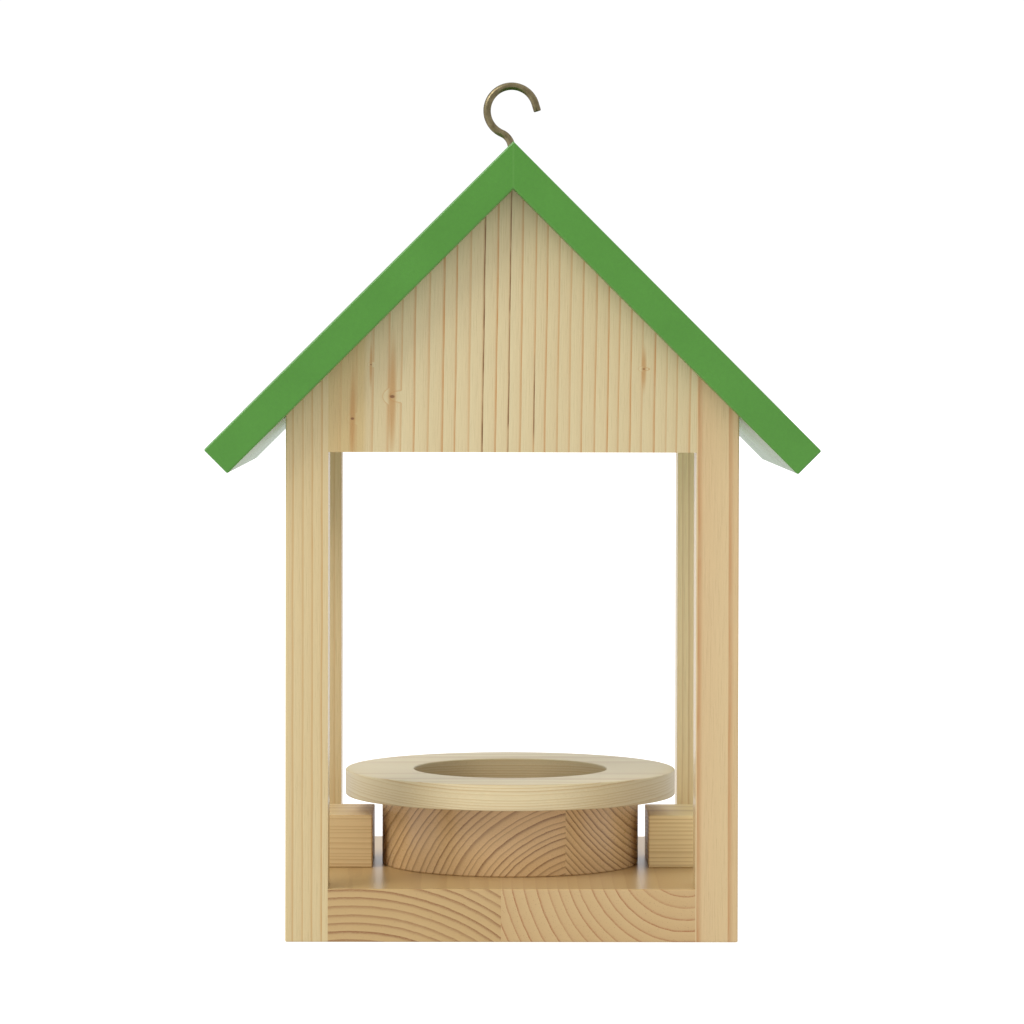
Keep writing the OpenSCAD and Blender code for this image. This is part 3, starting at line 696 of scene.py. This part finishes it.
def fill_wire_tree(t):
    """A round section swept along the base's line, as thick as its girth says."""
    given = add(t, "NodeGroupInput").outputs
    path = add(t, "GeometryNodeMeshToCurve", {"Mesh": given["Geometry"]}).outputs[0]
    girth = add(t, "GeometryNodeInputNamedAttribute", {"Name": "girth"}, data_type="FLOAT").outputs[0]
    path = add(t, "GeometryNodeSetCurveRadius", {"Curve": path, "Radius": girth}).outputs[0]
    section = add(t, "GeometryNodeCurvePrimitiveCircle", {"Resolution": given["Sides"], "Radius": 1.0},
                  mode="RADIUS").outputs["Curve"]
    sweep = add(t, "GeometryNodeCurveToMesh", {"Curve": path, "Profile Curve": section, "Fill Caps": True})
    if "Scale" in sweep.inputs:
        t.links.new(girth, sweep.inputs["Scale"])
    end_tree(t, sweep.outputs[0], given["Material"])


fill_wire_tree(wire_tree)

NECK_RADIUS = 6.5 * MM
TIP_ANGLE = math.radians(17)
TIP_LENGTH = 3.2 * MM
TIP_CHAMFER = 0.3 * MM
LOOP_STEPS, NECK_STEPS = 120, 30
HOOK_THREAD_RADIUS, HOOK_CORE_RADIUS, HOOK_PITCH = 1.8 * MM, 1.25 * MM, 1.6 * MM
HOOK_POINT_LENGTH, HOOK_POINT_RADIUS = 4 * MM, 0.1 * MM


def hook_path():
    """Points down the middle of the wire with its radius at each, from the open tip to the point in the
    wood."""
    low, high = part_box("screw_hook")
    ridge_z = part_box("roof_board_left")[1].z
    loop = [v.co for v in nodes["screw_hook"].data.vertices if v.co.z > ridge_z + 2 * MM]
    wire = max(p.y for p in loop)
    loop_r = -low.x - wire
    loop_z = high.z - loop_r - wire
    neck_angle = math.acos(NECK_RADIUS / (loop_r + NECK_RADIUS))
    shank_z = loop_z - (loop_r + NECK_RADIUS) * math.sin(neck_angle)
    end = math.pi + neck_angle
    path = []
    for back, girth in ((0.0, wire - TIP_CHAMFER), (0.4 * TIP_CHAMFER, wire - 0.4 * TIP_CHAMFER),
                        (TIP_CHAMFER, wire)):
        on = TIP_LENGTH - back
        path.append((loop_r * math.cos(TIP_ANGLE) + on * math.sin(TIP_ANGLE),
                     loop_z + loop_r * math.sin(TIP_ANGLE) - on * math.cos(TIP_ANGLE), girth))
    for i in range(LOOP_STEPS + 1):
        a = TIP_ANGLE + (end - TIP_ANGLE) * i / LOOP_STEPS
        path.append((loop_r * math.cos(a), loop_z + loop_r * math.sin(a), wire))
    for i in range(1, NECK_STEPS + 1):
        a = neck_angle * (1 - i / NECK_STEPS)
        path.append((NECK_RADIUS * math.cos(a) - NECK_RADIUS, shank_z + NECK_RADIUS * math.sin(a), wire))
    thread_low = low.z + HOOK_POINT_LENGTH
    turns = int((ridge_z - 3 * MM - thread_low) / HOOK_PITCH)
    for i in range(turns):
        z = thread_low + (turns - i) * HOOK_PITCH
        path.append((0.0, z, HOOK_CORE_RADIUS))
        path.append((0.0, z - HOOK_PITCH / 2, HOOK_THREAD_RADIUS))
    path.append((0.0, thread_low, HOOK_CORE_RADIUS))
    path.append((0.0, low.z, HOOK_POINT_RADIUS))
    return path


hook_points = hook_path()
hook_line = bpy.data.meshes.new("hook_line")
hook_line.from_pydata([(x, 0.0, z) for x, z, _ in hook_points],
                      [(i, i + 1) for i in range(len(hook_points) - 1)], [])
girths = hook_line.attributes.new("girth", "FLOAT", "POINT")
for item, (_, _, girth) in zip(girths.data, hook_points):
    item.value = girth
grow("hook_wire", hook_line, wire_tree, wire_ids, {"Sides": 40}, brass, "house", ["screw_hook"])

# The rim: a flat board turned to a ring, its corners sanded
SANDED_RADIUS = 0.6 * MM
ROUND_STEPS = 240
ring_tree, ring_ids = new_tree("turned_ring", {
    "Outer Radius": "NodeSocketFloat", "Inner Radius": "NodeSocketFloat", "Thickness": "NodeSocketFloat",
    "Underside": "NodeSocketFloat", "Sanded Radius": "NodeSocketFloat", "Material": "NodeSocketMaterial"})


def fill_ring_tree(t):
    """A board's section with sanded corners, swept round a circle."""
    given = add(t, "NodeGroupInput").outputs
    total = add(t, MATH, {0: given["Outer Radius"], 1: given["Inner Radius"]}, operation="ADD").outputs[0]
    middle = add(t, MATH, {0: total, 1: 0.5}, operation="MULTIPLY").outputs[0]
    width = add(t, MATH, {0: given["Outer Radius"], 1: given["Inner Radius"]},
                operation="SUBTRACT").outputs[0]
    path = add(t, "GeometryNodeCurvePrimitiveCircle", {"Resolution": ROUND_STEPS, "Radius": middle},
               mode="RADIUS").outputs["Curve"]
    section = add(t, "GeometryNodeCurvePrimitiveQuadrilateral",
                  {"Width": width, "Height": given["Thickness"]}, mode="RECTANGLE").outputs[0]
    section = add(t, "GeometryNodeFilletCurve",
                  {"Curve": section, "Count": 6, "Radius": given["Sanded Radius"], "Limit Radius": True},
                  mode="POLY").outputs[0]
    ring = add(t, "GeometryNodeCurveToMesh", {"Curve": path, "Profile Curve": section}).outputs[0]
    rise = add(t, MATH, {0: given["Thickness"], 1: 0.5, 2: given["Underside"]},
               operation="MULTIPLY_ADD").outputs[0]
    level = add(t, "ShaderNodeCombineXYZ", {"Z": rise}).outputs[0]
    ring = add(t, "GeometryNodeTransform", {"Geometry": ring, "Translation": level}).outputs[0]
    end_tree(t, ring, given["Material"])


fill_ring_tree(ring_tree)

rim_low, rim_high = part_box("bowl_rim")
well_r = min(math.hypot(v.co.x, v.co.y) for v in nodes["bowl_rim"].data.vertices)
grow("bowl_ring", bpy.data.meshes.new("rim_base"), ring_tree, ring_ids,
     {"Outer Radius": rim_high.x, "Inner Radius": well_r, "Thickness": rim_high.z - rim_low.z,
      "Underside": rim_low.z, "Sanded Radius": SANDED_RADIUS},
     wood["rim"], "bowl", ["bowl_rim"])


# ---------------------------------------------------------------- turned staves

def turned_drum():
    """The drum as one turned solid: a disc with a sanded lower edge and a well bored from above."""
    low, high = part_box("drum_stave_left")
    outer = -low.x
    floor = min(v.co.z for v in nodes["drum_stave_left"].data.vertices
                if math.hypot(v.co.x, v.co.y) < well_r + 0.1 * MM and v.co.z > low.z + 1 * MM)
    soft = SANDED_RADIUS
    outline = [(0.0, low.z)]
    for i in range(7):
        a = math.pi / 2 * i / 6
        outline.append((outer - soft + soft * math.sin(a), low.z + soft - soft * math.cos(a)))
    outline += [(outer, high.z), (well_r, high.z), (well_r, floor), (0.0, floor)]
    shape = bmesh.new()
    corners = [shape.verts.new((r, 0.0, z)) for r, z in outline]
    edges = [shape.edges.new(pair) for pair in zip(corners, corners[1:])]
    bmesh.ops.spin(shape, geom=corners + edges, cent=(0, 0, 0), axis=(0, 0, 1), angle=2 * math.pi,
                   steps=ROUND_STEPS, use_merge=True)
    bmesh.ops.remove_doubles(shape, verts=shape.verts, dist=1e-6)
    bmesh.ops.recalc_face_normals(shape, faces=shape.faces)
    return shape


def stave(name, side, material, node):
    """The part of the drum on one side of its glue joint."""
    shape = turned_drum()
    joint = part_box("drum_stave_left")[1].x
    bmesh.ops.bisect_plane(shape, geom=shape.verts[:] + shape.edges[:] + shape.faces[:], dist=1e-7,
                           plane_co=(joint, 0, 0), plane_no=(-side, 0, 0), clear_outer=True)
    open_edges = [e for e in shape.edges if e.is_boundary]
    bmesh.ops.triangle_fill(shape, use_beauty=True, edges=open_edges)
    bmesh.ops.recalc_face_normals(shape, faces=shape.faces)
    mesh = bpy.data.meshes.new(name)
    shape.to_mesh(mesh)
    shape.free()
    return keep(name, mesh, material, "bowl", [node])


stave("left_stave", -1, wood["drum_left"], "drum_stave_left")
stave("right_stave", 1, wood["drum_right"], "drum_stave_right")


# ---------------------------------------------------------------- studio

def aim(obj, at):
    """Turns a light so that it shines at a point."""
    obj.rotation_euler = (Vector(at) - obj.location).to_track_quat("-Z", "Y").to_euler()


def softbox(name, place, at, size, power):
    """A square area light, sized in metres and powered in watts."""
    lamp = bpy.data.lights.new(name, "AREA")
    lamp.shape = "SQUARE"
    lamp.size = size
    lamp.energy = power
    obj = bpy.data.objects.new(name, lamp)
    obj.location = place
    bpy.context.scene.collection.objects.link(obj)
    aim(obj, at)


low, high = cad_box
middle = (low + high) / 2

# The floor lies just under the base, so that the two faces don't fight
REACH = 12.0
FLOOR_Z = low.z - 0.2 * MM
floor_mesh = bpy.data.meshes.new("studio_floor")
floor_mesh.from_pydata([(-REACH, -REACH, FLOOR_Z), (REACH, -REACH, FLOOR_Z), (REACH, REACH, FLOOR_Z),
                        (-REACH, REACH, FLOOR_Z)], [], [(0, 1, 2, 3)])
floor = bpy.data.objects.new("studio_floor", floor_mesh)
bpy.context.scene.collection.objects.link(floor)
# White acrylic table lit from below: even white, with hardly a shadow
table, table_tree, table_shader = new_material("white_acrylic_table")
WHITE = (1.0, 1.0, 1.0, 1.0)
table_shader.inputs["Base Color"].default_value = (0.3, 0.3, 0.3, 1.0)
table_shader.inputs["Roughness"].default_value = 0.7
table_shader.inputs["Emission Color"].default_value = WHITE
lit = add(table_tree, "ShaderNodeLightPath").outputs["Is Camera Ray"]
lit = add(table_tree, RANGE, {"Value": lit, "To Min": 0.6, "To Max": 0.9}).outputs["Result"]
table_tree.links.new(lit, table_shader.inputs["Emission Strength"])
floor_mesh.materials.append(table)

softbox("key_softbox", (-1.6, -1.2, 1.75), middle, 1.2, 32.0)

# Soft light from all round: dimmer from the front, brighter from behind and above, before a white backdrop
world = bpy.data.worlds.new("white_studio")
bpy.context.scene.world = world
world.use_nodes = True
sky = world.node_tree
sky.nodes.clear()
toward = add(sky, "ShaderNodeTexCoord").outputs["Generated"]
way = add(sky, "ShaderNodeSeparateXYZ", {0: toward}).outputs
glow = add(sky, RANGE, {"Value": way["Y"], "From Min": -0.4, "From Max": 0.6, "To Min": 0.77, "To Max": 1.0},
           interpolation_type="SMOOTHSTEP").outputs["Result"]
overhead = add(sky, RANGE, {"Value": way["Z"], "From Min": 0.1, "From Max": 1.0, "To Min": 0.95,
                            "To Max": 1.5}).outputs["Result"]
glow = add(sky, MATH, {0: glow, 1: overhead}, operation="MULTIPLY").outputs[0]
ambient = add(sky, "ShaderNodeBackground", {"Color": WHITE, "Strength": glow})
backdrop = add(sky, "ShaderNodeBackground", {"Color": WHITE, "Strength": 1.05})
seen = add(sky, "ShaderNodeLightPath").outputs["Is Camera Ray"]
both = add(sky, "ShaderNodeMixShader", {0: seen, 1: ambient.outputs[0], 2: backdrop.outputs[0]})
add(sky, "ShaderNodeOutputWorld", {"Surface": both.outputs[0]})

bpy.context.scene.view_settings.view_transform = "Standard"
bpy.context.scene.view_settings.look = "None"

# A long lens in front of the house, looking almost level
lens = bpy.data.cameras.new("camera")
lens.sensor_width = 36.0
lens.lens = 148.65
lens.shift_y = -0.0948
PITCH, YAW, ROLL = math.radians(1.0), math.radians(0.408), math.radians(0.12)
camera = bpy.data.objects.new("camera", lens)
camera.location = (-0.0115, -1.669, 0.2257)
camera.rotation_euler = (Matrix.Rotation(-YAW, 3, "Z") @ Matrix.Rotation(math.pi / 2 - PITCH, 3, "X")
                         @ Matrix.Rotation(ROLL, 3, "Z")).to_euler()
bpy.context.scene.collection.objects.link(camera)
bpy.context.scene.camera = camera
